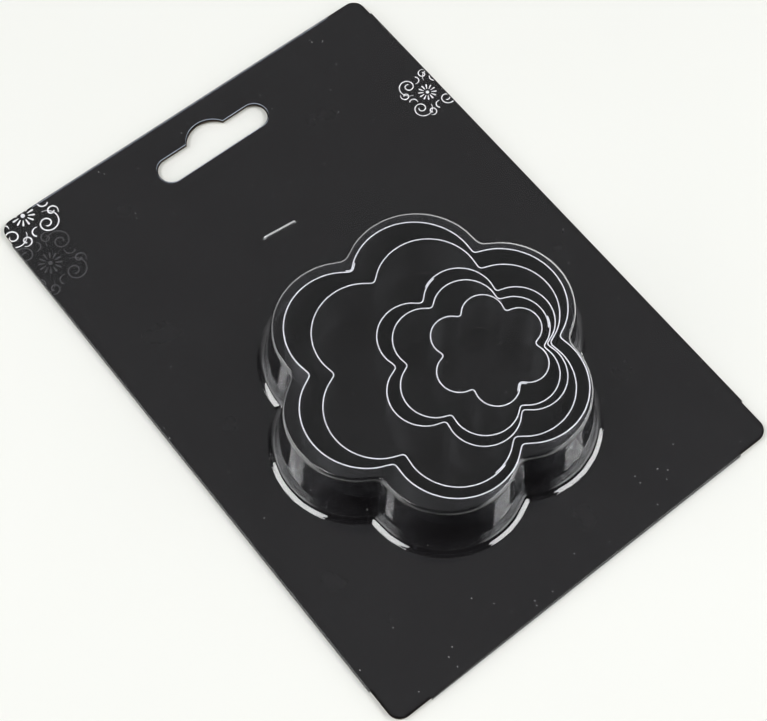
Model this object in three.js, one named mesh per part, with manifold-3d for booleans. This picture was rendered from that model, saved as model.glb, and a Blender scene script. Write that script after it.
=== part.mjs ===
// A hang card with five flower cutters nested under a clear six-lobed blister, fixed by one staple.
// Millimetres. The pack lies on its back, +Z up, +X to the right and +Y towards the hang slot.
// The origin is under the middle of the pack, on the surface that it lies on.

import * as THREE from 'three';
import { mergeVertices } from 'three/addons/utils/BufferGeometryUtils.js';
import Module from 'manifold-3d';

const wasm = await Module();
wasm.setup();

// Backing card
const cardWidth = 105;
const cardLength = 148;
const cardThickness = 0.5;
const cardCorner = 3;

// Hang slot, punched through the card and the film: a long slot with a round rise over its middle
const slotWidth = 30.6;
const slotHeight = 6.7;
const slotRise = 6.3;
const slotBelowTop = 12.1;

// Clear film, flat over the card and folded behind it along three edges
const filmThickness = 0.3;
const filmInset = 0.4;
const foldClearance = 0.1;
const foldOverlap = 2;
const foldTopInset = 6;
const lipWidth = 8;
const lipStandoff = 0.35;
const lipCornerGap = 1;

// Five cutters, each a strip bent to a flower and lapped where its ends meet
const petals = 6;
const cutterHeight = 16;
const stripThickness = 0.3;
const lapLength = 3;
const nestClearance = 0.1;

// Reach of the smallest flower at its petal tips and at its notches, and the steps from each cutter to the
// next one out
const smallestTip = 13.6;
const smallestNotch = 10.5;
const smallTipStep = 5.3;
const smallNotchStep = 4.75;
const middleTipStep = 2.65;
const middleNotchStep = 1.75;
const largeTipStep = 8.25;
const largeNotchStep = 7;
const largestTipStep = 3.9;
const largestNotchStep = 3.5;

// Radius of the bends in the notches
const smallestBend = 0.5;
const smallBend = 0.6;
const middleBend = 0.6;
const largeBend = 0.8;
const largestBend = 0.8;

// The largest strip has sprung out of round, and the large one lies a little off it
const largestSprung = 0.6;
const largeRoom = 0.7;

// Each cutter, from the outside in: its steps over the next one in, the bend in its notches, its turn,
// how far its strip has sprung out of round, the way it lies against the one around it, the room that
// is left there, and where its seam is, counted in petals from the one on +X. Angles are in degrees.
const cutters = [
  {
    name: 'largest_cutter',
    tipStep: largestTipStep, notchStep: largestNotchStep, bend: largestBend,
    turn: 2.2, sprung: largestSprung, lean: -5, room: 0, seam: 1.93,
  },
  {
    name: 'large_cutter',
    tipStep: largeTipStep, notchStep: largeNotchStep, bend: largeBend,
    turn: 0.8, sprung: 0, lean: -61, room: largeRoom, seam: 4.69,
  },
  {
    name: 'middle_cutter',
    tipStep: middleTipStep, notchStep: middleNotchStep, bend: middleBend,
    turn: 1.3, sprung: 0, lean: -31, room: 0, seam: 1.7,
  },
  {
    name: 'small_cutter',
    tipStep: smallTipStep, notchStep: smallNotchStep, bend: smallBend,
    turn: 0.45, sprung: 0, lean: -44, room: 0, seam: 0.21,
  },
  {
    name: 'smallest_cutter',
    tipStep: 0, notchStep: 0, bend: smallestBend,
    turn: 0, sprung: 0, lean: -12, room: 0, seam: 4.85,
  },
];
const sprungAxis = 120;

// Dome of the film, around the largest cutter
const domeAboveBottom = 54.5;
const domeTipRoom = 2.3;
const domeNotchRoom = 3.1;
const domeBend = 2.5;
const domeDraft = 2;
const domeFlare = 1.7;
const domeBaseBend = 1.1;
const domeEdge = 1;
const domeHeadroom = 0.4;

// Staple of flat wire, part of the way from the dome up to the hang slot
const stapleLength = 8.5;
const stapleWire = 0.45;
const stapleWireWidth = 0.5;
const stapleBend = 0.6;
const stapleClinch = 3.4;
const stapleClearance = 0.2;
const stapleWayUp = 0.42;
const stapleX = -1.8;
const stapleTurn = -6;

// Fineness of the round stretches
const petalSteps = 10;
const bendSteps = 4;
const flareSteps = 3;
const edgeSteps = 3;
const curveSteps = 8;
const leastStep = 0.05;
const finestSlide = 0.002;
const samePoint = 1e-5;

// Heights, from the lips that the pack lies on
const cardBack = filmThickness + lipStandoff;
const cardFront = cardBack + cardThickness;
const filmTop = cardFront + filmThickness;
const rimHeight = cardFront + cutterHeight;
const domeTop = rimHeight + domeHeadroom + filmThickness;

// Places on the card, from its middle
const foldRadius = filmTop / 2;
const foldReach = foldClearance + foldRadius;
const slotY = cardLength / 2 - slotBelowTop;
const domeY = domeAboveBottom - cardLength / 2;

const degrees = THREE.MathUtils.degToRad;

function polar(radius, angle) {
  return new THREE.Vector2(radius * Math.cos(angle), radius * Math.sin(angle));
}

// A flower outline, counter-clockwise: petal arcs joined by notch bends. The centre of a bend lies outside
// the flower, so its side is -1 and its radius shrinks as the outline is moved outwards.
function flowerArcs({ tip, notch, bend }) {
  const half = Math.PI / petals;
  const bendAt = notch + bend;
  const reach = tip + bend;
  const petalAt = (reach ** 2 - bendAt ** 2) / (2 * (reach - bendAt * Math.cos(half)));
  const sweep = Math.atan2(bendAt * Math.sin(half), bendAt * Math.cos(half) - petalAt);
  const arcs = [];
  for (let k = 0; k < petals; k += 1) {
    const axis = 2 * half * k;
    arcs.push({
      centre: polar(petalAt, axis),
      radius: tip - petalAt,
      from: axis - sweep,
      to: axis + sweep,
      side: 1,
      steps: petalSteps,
    });
    arcs.push({
      centre: polar(bendAt, axis + half),
      radius: bend,
      from: axis + sweep + Math.PI,
      to: axis + 2 * half - sweep + Math.PI,
      side: -1,
      steps: bendSteps,
    });
  }
  return arcs;
}

function arcLength(arc) {
  return arc.radius * Math.abs(arc.to - arc.from);
}

function pointOnArc(arc, share, offset) {
  const angle = arc.from + (arc.to - arc.from) * share;
  return polar(arc.radius + arc.side * offset, angle).add(arc.centre);
}

// The whole outline, moved outwards by an offset
function outline(arcs, offset) {
  const points = [];
  for (const arc of arcs) {
    for (let step = 0; step < arc.steps; step += 1) {
      points.push(pointOnArc(arc, step / arc.steps, offset));
    }
  }
  return points;
}

// One face of a strip that goes once round the flower from a place on it, offset by how far it has come
function stripFace(arcs, start, offsetAt) {
  const round = arcs.reduce((sum, arc) => sum + arcLength(arc), 0);
  const places = [start, start + round];
  let before = 0;
  for (const arc of arcs) {
    for (let step = 0; step < arc.steps; step += 1) {
      const at = before + arcLength(arc) * step / arc.steps;
      const laps = Math.ceil((start - at) / round);
      const moved = at + laps * round;
      if (moved > start + leastStep && moved < start + round - leastStep) {
        places.push(moved);
      }
    }
    before += arcLength(arc);
  }
  places.sort((a, b) => a - b);
  return places.map((at) => {
    let rest = at % round;
    let k = 0;
    while (k < arcs.length - 1 && rest > arcLength(arcs[k])) {
      rest -= arcLength(arcs[k]);
      k += 1;
    }
    return pointOnArc(arcs[k], rest / arcLength(arcs[k]), offsetAt(at));
  });
}

// A strip that has sprung out of round is longer along one axis and shorter across it
function springOutline(points, share) {
  const axis = polar(1, degrees(sprungAxis));
  return points.map((point) => {
    const along = axis.clone().multiplyScalar(point.dot(axis));
    const across = point.clone().sub(along);
    return along.multiplyScalar(1 + share).add(across.multiplyScalar(1 - share));
  });
}

function turnOutline(points, angle) {
  const middle = new THREE.Vector2();
  return points.map((point) => point.clone().rotateAround(middle, angle));
}

function moveOutline(points, move) {
  return points.map((point) => point.clone().add(move));
}

function distanceToEdge(point, a, b) {
  const x = b.x - a.x;
  const y = b.y - a.y;
  const along = ((point.x - a.x) * x + (point.y - a.y) * y) / (x * x + y * y);
  const share = THREE.MathUtils.clamp(along, 0, 1);
  return Math.sqrt((a.x + share * x - point.x) ** 2 + (a.y + share * y - point.y) ** 2);
}

function leastDistance(points, around) {
  let least = Infinity;
  for (const point of points) {
    around.forEach((corner, k) => {
      const next = around[(k + 1) % around.length];
      least = Math.min(least, distanceToEdge(point, corner, next));
    });
  }
  return least;
}

function leastGap(one, other) {
  return Math.min(leastDistance(one, other), leastDistance(other, one));
}

// How far an outline can slide one way inside another before only the clearance is left
function slideRoom(inner, around, direction) {
  let slide = 0;
  for (let step = nestClearance; step > finestSlide; step /= 2) {
    while (leastGap(moveOutline(inner, direction.clone().setLength(slide + step)), around) >= nestClearance) {
      slide += step;
    }
  }
  return slide;
}

// The flower of each cutter, built up from the smallest
function cutterFlowers() {
  let tip = smallestTip;
  let notch = smallestNotch;
  const flowers = new Map();
  for (const cutter of [...cutters].reverse()) {
    tip += cutter.tipStep;
    notch += cutter.notchStep;
    flowers.set(cutter, { tip, notch, bend: cutter.bend });
  }
  return flowers;
}

// Both faces of a cutter's strip, about its own middle. The strip winds outwards by its thickness in one
// round, and its outer end lies on its inner end along the lap.
function cutterFaces(cutter, flower) {
  const arcs = flowerArcs(flower);
  const round = arcs.reduce((sum, arc) => sum + arcLength(arc), 0);
  const start = cutter.seam * round / petals;
  const outerAt = (at) => stripThickness * ((at - start) / round - 1);
  const innerAt = (at) => outerAt(at) - stripThickness;
  const shape = (points) => turnOutline(
    springOutline(points, cutter.sprung / flower.tip),
    degrees(cutter.turn),
  );
  return {
    outer: shape(stripFace(arcs, start + lapLength, outerAt)),
    inner: shape(stripFace(arcs, start, innerAt)),
  };
}

function toMesh(name, geometry, material) {
  const mesh = new THREE.Mesh(geometry, material);
  mesh.name = name;
  return mesh;
}

function steel() {
  return new THREE.MeshStandardMaterial({ color: 0xc9cacc, roughness: 0.25, metalness: 1 });
}

function toSolid(geometry) {
  const bare = geometry.clone();
  bare.deleteAttribute('normal');
  bare.deleteAttribute('uv');
  const merged = mergeVertices(bare, samePoint);
  const vertProperties = new Float32Array(merged.attributes.position.array);
  const triVerts = new Uint32Array(merged.index.array);
  return new wasm.Manifold(new wasm.Mesh({ numProp: 3, vertProperties, triVerts }));
}

function toGeometry(solid) {
  const { vertProperties, triVerts } = solid.getMesh();
  const geometry = new THREE.BufferGeometry();
  geometry.setAttribute('position', new THREE.BufferAttribute(vertProperties, 3));
  geometry.setIndex(new THREE.BufferAttribute(triVerts, 1));
  geometry.computeVertexNormals();
  return geometry;
}

// A closed solid through a stack of level outlines, each with the same number of points
function loft(levels) {
  const count = levels[0].points.length;
  const position = levels.flatMap(({ points, z }) => points.flatMap(({ x, y }) => [x, y, z]));
  const index = [];
  for (let level = 0; level < levels.length - 1; level += 1) {
    for (let k = 0; k < count; k += 1) {
      const a = level * count + k;
      const b = level * count + (k + 1) % count;
      index.push(a, b, b + count, a, b + count, a + count);
    }
  }
  const last = (levels.length - 1) * count;
  for (const [a, b, c] of THREE.ShapeUtils.triangulateShape(levels[0].points, [])) {
    index.push(a, c, b);
  }
  for (const [a, b, c] of THREE.ShapeUtils.triangulateShape(levels[levels.length - 1].points, [])) {
    index.push(last + a, last + b, last + c);
  }
  const geometry = new THREE.BufferGeometry();
  geometry.setAttribute('position', new THREE.Float32BufferAttribute(position, 3));
  geometry.setIndex(index);
  return geometry;
}

function extrude(shape, depth) {
  return new THREE.ExtrudeGeometry(shape, { depth, bevelEnabled: false, curveSegments: curveSteps });
}

function roundedRectangle(width, length, corner) {
  const x = width / 2 - corner;
  const y = length / 2 - corner;
  const shape = new THREE.Shape();
  shape.absarc(x, -y, corner, -Math.PI / 2, 0);
  shape.absarc(x, y, corner, 0, Math.PI / 2);
  shape.absarc(-x, y, corner, Math.PI / 2, Math.PI);
  shape.absarc(-x, -y, corner, Math.PI, 1.5 * Math.PI);
  shape.closePath();
  return shape;
}

function hangSlot() {
  const endRadius = slotHeight / 2;
  const endX = slotWidth / 2 - endRadius;
  const riseFrom = Math.asin(endRadius / slotRise);
  const path = new THREE.Path();
  path.absarc(endX, slotY, endRadius, -Math.PI / 2, Math.PI / 2);
  path.absarc(0, slotY, slotRise, riseFrom, Math.PI - riseFrom);
  path.absarc(-endX, slotY, endRadius, Math.PI / 2, 1.5 * Math.PI);
  path.closePath();
  return path;
}

// The dome's outline at its top and at its foot, where the flare starts
const flowers = cutterFlowers();
const largest = flowers.get(cutters[0]);
const domeTopArcs = flowerArcs({
  tip: largest.tip + domeTipRoom,
  notch: largest.notch + domeNotchRoom,
  bend: domeBend,
});
const domeFootArcs = flowerArcs({
  tip: largest.tip + domeTipRoom + domeDraft,
  notch: largest.notch + domeNotchRoom + domeDraft,
  bend: domeBaseBend + domeFlare,
});
const domeBaseNotch = largest.notch + domeNotchRoom + domeDraft + domeFlare;

const staplePlace = new THREE.Vector2(
  stapleX,
  THREE.MathUtils.lerp(domeY + domeBaseNotch, slotY - slotHeight / 2, stapleWayUp),
);

// Square holes for the staple's two legs
function stapleHoles() {
  const legX = (stapleLength - stapleWire) / 2;
  const halfX = stapleWire / 2 + stapleClearance;
  const halfY = stapleWireWidth / 2 + stapleClearance;
  const corners = [[-halfX, -halfY], [halfX, -halfY], [halfX, halfY], [-halfX, halfY]];
  return [-legX, legX].map((x) => {
    const points = corners.map(([cx, cy]) => new THREE.Vector2(x + cx, cy));
    return new THREE.Path(moveOutline(turnOutline(points, degrees(stapleTurn)), staplePlace));
  });
}

function backingCard() {
  const shape = roundedRectangle(cardWidth, cardLength, cardCorner);
  shape.holes.push(hangSlot(), ...stapleHoles());
  const material = new THREE.MeshStandardMaterial({ color: 0x2f2d2e, roughness: 0.35, metalness: 0 });
  const card = toMesh('backing_card', extrude(shape, cardThickness), material);
  card.position.z = cardBack;
  return card;
}

// The film round one edge of the card: a flange in front, a half-round fold and a lip behind. It is drawn
// from the card's edge outwards and runs down from its start.
function filmFold(span) {
  const shape = new THREE.Shape();
  shape.moveTo(-filmInset - foldOverlap, cardFront);
  shape.lineTo(foldClearance, cardFront);
  shape.absarc(foldClearance, foldRadius, foldRadius - filmThickness, Math.PI / 2, -Math.PI / 2, true);
  shape.lineTo(-lipWidth, filmThickness);
  shape.lineTo(-lipWidth, 0);
  shape.lineTo(foldClearance, 0);
  shape.absarc(foldClearance, foldRadius, foldRadius, -Math.PI / 2, Math.PI / 2);
  shape.lineTo(-filmInset - foldOverlap, filmTop);
  shape.closePath();
  return extrude(shape, span).rotateX(Math.PI / 2);
}

function filmFolds() {
  const sideTop = cardLength / 2 - foldTopInset;
  const sideBottom = -cardLength / 2 + lipWidth + lipCornerGap;
  const bottomEnd = cardWidth / 2 - lipWidth - lipCornerGap;
  const sideSpan = sideTop - sideBottom;
  const right = filmFold(sideSpan).translate(cardWidth / 2, sideTop, 0);
  const left = filmFold(sideSpan).rotateZ(Math.PI).translate(-cardWidth / 2, sideBottom, 0);
  const bottom = filmFold(2 * bottomEnd).rotateZ(-Math.PI / 2).translate(bottomEnd, -cardLength / 2, 0);
  return [right, left, bottom];
}

// One side of the dome's film, as a solid: the flare up from the card, the wall, the top edge and the top.
// The depth is 0 for the outside, and the film's thickness for the inside.
function domeSolid(depth, bottom) {
  const levels = [{ points: outline(domeFootArcs, domeFlare), z: bottom }];
  for (let step = 0; step <= flareSteps; step += 1) {
    const angle = step / flareSteps * Math.PI / 2;
    const radius = domeFlare + depth;
    levels.push({
      points: outline(domeFootArcs, domeFlare - radius * Math.sin(angle)),
      z: filmTop + domeFlare - radius * Math.cos(angle),
    });
  }
  for (let step = 0; step <= edgeSteps; step += 1) {
    const angle = step / edgeSteps * Math.PI / 2;
    const radius = domeEdge - depth;
    levels.push({
      points: outline(domeTopArcs, radius * Math.cos(angle) - domeEdge),
      z: domeTop - domeEdge + radius * Math.sin(angle),
    });
  }
  return toSolid(loft(levels).translate(0, domeY, 0));
}

function blisterCover() {
  const shape = roundedRectangle(
    cardWidth - 2 * filmInset,
    cardLength - 2 * filmInset,
    cardCorner - filmInset,
  );
  shape.holes.push(hangSlot(), ...stapleHoles());
  let film = toSolid(extrude(shape, filmThickness).translate(0, 0, cardFront));
  for (const fold of filmFolds()) {
    film = film.add(toSolid(fold));
  }
  film = film.add(domeSolid(0, cardFront + filmThickness / 2));
  film = film.subtract(domeSolid(filmThickness, cardBack));
  const material = new THREE.MeshStandardMaterial({
    color: 0xe9ecf2,
    roughness: 0.08,
    metalness: 0,
    transparent: true,
    opacity: 0.3,
  });
  return toMesh('blister_cover', toGeometry(film), material);
}

// The staple seen from its side: the crown on the film, the legs through it and the ends clinched behind
function wireStaple() {
  const side = stapleLength / 2;
  const tip = side - stapleClinch;
  const top = filmTop + stapleWire;
  const bottom = cardBack - stapleWire;
  const inside = side - stapleWire;
  const innerBend = stapleBend - stapleWire;
  const shape = new THREE.Shape();
  shape.moveTo(-tip, bottom);
  shape.absarc(stapleBend - side, bottom + stapleBend, stapleBend, 1.5 * Math.PI, Math.PI, true);
  shape.absarc(stapleBend - side, top - stapleBend, stapleBend, Math.PI, Math.PI / 2, true);
  shape.absarc(side - stapleBend, top - stapleBend, stapleBend, Math.PI / 2, 0, true);
  shape.absarc(side - stapleBend, bottom + stapleBend, stapleBend, 0, -Math.PI / 2, true);
  shape.lineTo(tip, bottom);
  shape.lineTo(tip, cardBack);
  shape.absarc(inside - innerBend, cardBack + innerBend, innerBend, -Math.PI / 2, 0);
  shape.absarc(inside - innerBend, filmTop - innerBend, innerBend, 0, Math.PI / 2);
  shape.absarc(innerBend - inside, filmTop - innerBend, innerBend, Math.PI / 2, Math.PI);
  shape.absarc(innerBend - inside, cardBack + innerBend, innerBend, Math.PI, 1.5 * Math.PI);
  shape.lineTo(-tip, cardBack);
  shape.closePath();
  const geometry = extrude(shape, stapleWireWidth);
  geometry.translate(0, 0, -stapleWireWidth / 2);
  geometry.rotateX(Math.PI / 2);
  const staple = toMesh('staple', geometry, steel());
  staple.position.set(staplePlace.x, staplePlace.y, 0);
  staple.rotation.z = degrees(stapleTurn);
  return staple;
}

// The dome's inside at the height of the rims, where its rounded top edge has begun to close in
function domeAtRims() {
  const radius = domeEdge - filmThickness;
  const rise = Math.max(0, rimHeight - (domeTop - domeEdge));
  const offset = Math.sqrt(radius ** 2 - rise ** 2) - domeEdge;
  return moveOutline(outline(domeTopArcs, offset), new THREE.Vector2(0, domeY));
}

// The cutters from the outside in, each lying against the inside of the one around it
function nestedCutters() {
  const nest = new THREE.Group();
  const middle = new THREE.Vector2(0, domeY);
  let around = domeAtRims();
  for (const cutter of cutters) {
    const { outer, inner } = cutterFaces(cutter, flowers.get(cutter));
    const lean = polar(1, degrees(cutter.lean));
    const slide = slideRoom(moveOutline(outer, middle), around, lean) - cutter.room;
    middle.add(lean.multiplyScalar(slide));
    const shape = new THREE.Shape(outer);
    shape.holes.push(new THREE.Path(inner));
    const mesh = toMesh(cutter.name, extrude(shape, cutterHeight), steel());
    mesh.position.set(middle.x, middle.y, cardFront);
    nest.add(mesh);
    around = moveOutline(inner, middle);
  }
  return nest;
}

const pack = new THREE.Group();
pack.add(backingCard(), blisterCover(), wireStaple(), nestedCutters());
pack.position.y = foldReach / 2;

export default pack;
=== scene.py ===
# %% [markdown]
# # Flower cutters under a clear dome, on a hang card
#
# The object is a small retail pack. A black printed card carries a sheet of clear film. The film rises
# into a dome with six lobes, and under the dome five flower cutters of thin steel strip lie loose in one
# another. One wire staple holds film and card together.
#
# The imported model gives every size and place. Each piece below is modelled again with smooth curves,
# thin walls and real finishes, in the same frame, and it rides on the body that it belongs to.

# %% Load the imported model
from math import copysign, cos, pi, radians, sin, sqrt

import bmesh
import bpy
from mathutils import Matrix, Vector
from mathutils.geometry import interpolate_bezier


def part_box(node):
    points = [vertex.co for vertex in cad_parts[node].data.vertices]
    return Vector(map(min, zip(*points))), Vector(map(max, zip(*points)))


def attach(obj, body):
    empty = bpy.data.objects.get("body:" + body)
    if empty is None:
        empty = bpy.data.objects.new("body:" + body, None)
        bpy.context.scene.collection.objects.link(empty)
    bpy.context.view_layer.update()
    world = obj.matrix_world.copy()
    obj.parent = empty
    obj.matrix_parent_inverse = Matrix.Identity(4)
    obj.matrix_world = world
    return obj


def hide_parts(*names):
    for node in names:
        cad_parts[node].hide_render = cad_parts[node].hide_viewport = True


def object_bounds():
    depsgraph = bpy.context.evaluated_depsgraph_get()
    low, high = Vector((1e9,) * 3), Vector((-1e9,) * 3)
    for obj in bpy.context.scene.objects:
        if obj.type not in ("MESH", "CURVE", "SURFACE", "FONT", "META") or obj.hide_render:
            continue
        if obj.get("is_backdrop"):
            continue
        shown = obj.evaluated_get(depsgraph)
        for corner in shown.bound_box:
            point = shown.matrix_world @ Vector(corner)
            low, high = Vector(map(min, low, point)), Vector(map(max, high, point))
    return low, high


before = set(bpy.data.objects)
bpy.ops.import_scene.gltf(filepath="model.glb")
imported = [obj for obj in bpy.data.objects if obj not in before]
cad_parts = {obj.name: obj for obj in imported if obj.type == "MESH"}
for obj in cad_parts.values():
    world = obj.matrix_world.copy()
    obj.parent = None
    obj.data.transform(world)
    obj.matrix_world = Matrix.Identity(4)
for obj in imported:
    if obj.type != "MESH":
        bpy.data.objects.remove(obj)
cad_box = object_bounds()

MM = 0.001


def mm(lengths):
    """Lengths in mm, rounded for printing."""
    return [round(length / MM, 2) for length in lengths]


print("CAD box in mm:", [mm(corner) for corner in cad_box])

# %% [markdown]
# ## Selecting in code
#
# Blender's tools act on what is selected. By hand that is a click; in a script it is a test on the place
# or the direction of each vertex, edge or face.

# %% Helpers for selecting
SAME = 0.002 * MM


def only(obj):
    """Leaves edit mode and makes one object the only selected one."""
    if bpy.context.mode != "OBJECT":
        bpy.ops.object.mode_set(mode="OBJECT")
    bpy.ops.object.select_all(action="DESELECT")
    obj.select_set(True)
    bpy.context.view_layer.objects.active = obj


def select_all():
    """In edit mode, selects everything."""
    bpy.ops.mesh.select_all(action="SELECT")


def edit(obj):
    """Opens one object in edit mode with all of it selected."""
    only(obj)
    bpy.ops.object.mode_set(mode="EDIT")
    select_all()


def pick(obj, kind, test):
    """In edit mode, selects only the vertices, edges or faces that pass a test."""
    bpy.ops.mesh.select_mode(type=kind)
    bpy.ops.mesh.select_all(action="DESELECT")
    mesh = bmesh.from_edit_mesh(obj.data)
    parts = {"VERT": mesh.verts, "EDGE": mesh.edges, "FACE": mesh.faces}[kind]
    found = [part for part in parts if test(part)]
    for part in found:
        part.select_set(True)
    mesh.select_flush_mode()
    bmesh.update_edit_mesh(obj.data)
    return len(found)


print("points closer than", SAME / MM, "mm count as one")

# %% [markdown]
# Extruding, joining, modifiers and shading come back for most pieces, so they are helpers too.

# %% Helpers for shaping
CREASE = 40


def face_outwards():
    """In edit mode, turns all faces outwards."""
    select_all()
    bpy.ops.mesh.normals_make_consistent(inside=False)


def extrude(way):
    """In edit mode, extrudes the selected faces."""
    bpy.ops.mesh.extrude_region_move(TRANSFORM_OT_translate={"value": way})


def extrude_edges(way):
    """In edit mode, extrudes the selected edges."""
    bpy.ops.mesh.extrude_edges_move(TRANSFORM_OT_translate={"value": way})


def join(pieces):
    """Makes one object of several and returns it."""
    only(pieces[0])
    for piece in pieces:
        piece.select_set(True)
    bpy.ops.object.join()
    return bpy.context.object


def apply(obj, kind, **settings):
    """Adds one modifier, sets it and applies it."""
    only(obj)
    bpy.ops.object.modifier_add(type=kind)
    modifier = obj.modifiers[-1]
    for name, value in settings.items():
        setattr(modifier, name, value)
    bpy.ops.object.modifier_apply(modifier=modifier.name)


def smooth(obj, degrees=CREASE):
    """Shades a piece smooth where its faces meet at less than some degrees."""
    only(obj)
    bpy.ops.object.shade_smooth_by_angle(angle=radians(degrees))


def report(obj):
    """Prints how large a piece is."""
    obj.data.update()
    print(f"{obj.name}: {len(obj.data.vertices)} vertices, {len(obj.data.polygons)} faces")


print("faces that meet at less than", CREASE, "degrees are shaded smooth")

# %% [markdown]
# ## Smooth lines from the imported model
#
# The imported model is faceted: a petal is a row of short straight edges. Its corners lie exactly on the
# real curve, so every outline below is drawn through them. These helpers walk round the sharp edges that a
# CAD piece has at one height, and find the direction outwards at each corner.

# %% Helpers for rings
SHARP = radians(3)


def turned_left(points):
    """Twice the area inside a ring: positive when it runs counter-clockwise."""
    ends = points[1:] + points[:1]
    return sum(a.x * b.y - b.x * a.y for a, b in zip(points, ends))


def rings_at(node, height):
    """The closed rings of sharp edges of a CAD piece at one height, largest first, counter-clockwise."""
    mesh = bmesh.new()
    mesh.from_mesh(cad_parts[node].data)
    bmesh.ops.remove_doubles(mesh, verts=mesh.verts, dist=SAME)
    left = {
        e for e in mesh.edges
        if all(abs(v.co.z - height) < SAME for v in e.verts) and e.calc_face_angle(0) > SHARP
    }
    rings = []
    while left:
        edge = left.pop()
        first, here = edge.verts
        ring = [first]
        while here is not first:
            ring.append(here)
            edge = next(e for e in here.link_edges if e in left)
            left.remove(edge)
            here = edge.other_vert(here)
        points = [v.co.to_2d() for v in ring]
        rings.append(points if turned_left(points) > 0 else points[::-1])
    mesh.free()
    return sorted(rings, key=turned_left, reverse=True)


def outward(points, closed):
    """The direction to the right of a line at each of its points: outwards on a counter-clockwise ring."""
    directions = []
    for k, point in enumerate(points):
        before = points[k - 1] if closed or k else point
        after = points[(k + 1) % len(points)] if closed or k + 1 < len(points) else point
        along = ((point - before).normalized() + (after - point).normalized()).normalized()
        directions.append(Vector((along.y, -along.x)))
    return directions


print("edges of more than", round(SHARP, 3), "radians count as sharp")

# %% [markdown]
# A Bezier curve with automatic handles through the corners gives the smooth line back. Subdividing would
# smooth the petals too, but it would also shrink them. The curve is then made a line of mesh edges, because
# only a mesh can be bridged and extruded.

# %% Helpers for curves
CURVE_STEPS = 4


def mesh_of(curve):
    """An object with a curve's line or tube as its mesh."""
    obj = bpy.data.objects.new(curve.name, curve)
    bpy.context.collection.objects.link(obj)
    only(obj)
    bpy.ops.object.convert(target="MESH")
    return bpy.context.object


def trace(name, points, height, closed):
    """A line of mesh edges along the smooth curve through some points at one height."""
    curve = bpy.data.curves.new(name, "CURVE")
    curve.dimensions = "3D"
    curve.resolution_u = CURVE_STEPS
    spline = curve.splines.new("BEZIER")
    spline.bezier_points.add(len(points) - 1)
    spline.use_cyclic_u = closed
    for knot, point in zip(spline.bezier_points, points):
        knot.co = (point.x, point.y, height)
        knot.handle_left_type = "AUTO"
        knot.handle_right_type = "AUTO"
    return mesh_of(curve)


print("curves with", CURVE_STEPS, "steps from point to point")

# %% [markdown]
# ## The camera
#
# The photograph was taken from above and from the lower left of the card, with a longish lens. A camera
# could be placed by eye, but distance and lens are hard to tell apart that way, so this one is fitted to
# the card in the photograph. It comes early, because everything is judged through it. It aims at a point on
# the card and is turned a little about its own axis.

# %% Set the camera
AIM = Vector((-3.63, -7.43, 1.15)) * MM
DISTANCE = 396.75 * MM
AZIMUTH = radians(-39.38)
ELEVATION = radians(64.91)
ROLL = radians(1.06)
LENS = 83.09

towards = Vector((
    sin(AZIMUTH) * cos(ELEVATION),
    -cos(AZIMUTH) * cos(ELEVATION),
    sin(ELEVATION),
))
bpy.ops.object.camera_add(location=AIM + DISTANCE * towards)
camera = bpy.context.object
camera.data.lens = LENS
turn = towards.to_track_quat("Z", "Y").to_matrix()
camera.rotation_euler = (turn @ Matrix.Rotation(ROLL, 3, "Z")).to_euler()
bpy.context.scene.camera = camera
print("camera at", mm(camera.location), "mm")

# %% [markdown]
# ## The punches for the hang slot and the staple
#
# Card and film are punched together, so one set of punches cuts both. The slot is a bar with round ends
# and a round rise over its middle, which a single hook fits. It could be drawn as a hole in each outline,
# but a Boolean with a punch is how the factory does it. The bar is a plane whose corners are bevelled until
# its ends are half circles. The rise is a cylinder, cut off level with the middle of the bar.

# %% Make the slot's punch
SLOT_HEIGHT = 6.7 * MM
SLOT_RISE = 6.3 * MM
PUNCH = 6 * MM
ROUND_STEPS = 24


def plate(low, high, height, corner, steps):
    """A flat piece with round corners between two places, in edit mode with all of it selected."""
    only(camera)
    bpy.ops.mesh.primitive_plane_add(size=1, location=((low + high) / 2).to_2d().to_3d())
    obj = bpy.context.object
    obj.scale = (high.x - low.x, high.y - low.y, 1)
    bpy.ops.object.transform_apply(location=True, scale=True)
    edit(obj)
    bpy.ops.transform.translate(value=(0, 0, height))
    bpy.ops.mesh.bevel(offset=corner, affect="VERTICES", segments=steps)
    select_all()
    return obj


card_low, card_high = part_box("backing_card")
slot, *leg_rings = rings_at("backing_card", card_high.z)[1:]
slot_low = Vector((min(p.x for p in slot), min(p.y for p in slot)))
slot_high = Vector((max(p.x for p in slot), slot_low.y + SLOT_HEIGHT))
slot_y = slot_low.y + SLOT_HEIGHT / 2

slot_punch = plate(slot_low, slot_high, -PUNCH / 2, SLOT_HEIGHT / 2 - SAME, ROUND_STEPS)
extrude((0, 0, PUNCH))
face_outwards()

only(slot_punch)
bpy.ops.mesh.primitive_cylinder_add(
    vertices=4 * ROUND_STEPS, radius=SLOT_RISE, depth=PUNCH, location=(0, slot_y, 0),
)
rise = bpy.context.object
bpy.ops.object.transform_apply(location=True)
edit(rise)
bpy.ops.mesh.bisect(plane_co=(0, slot_y, 0), plane_no=(0, 1, 0), use_fill=True, clear_inner=True)
apply(slot_punch, "BOOLEAN", operation="UNION", object=rise)
bpy.data.objects.remove(rise)
print("slot from", mm(slot_low), "to", mm(slot_high), "mm")

# %% [markdown]
# The staple's two legs go through small square holes. Each punch is a face on the corners of the CAD hole,
# extruded through card and film.

# %% Make the staple's punches


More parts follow.
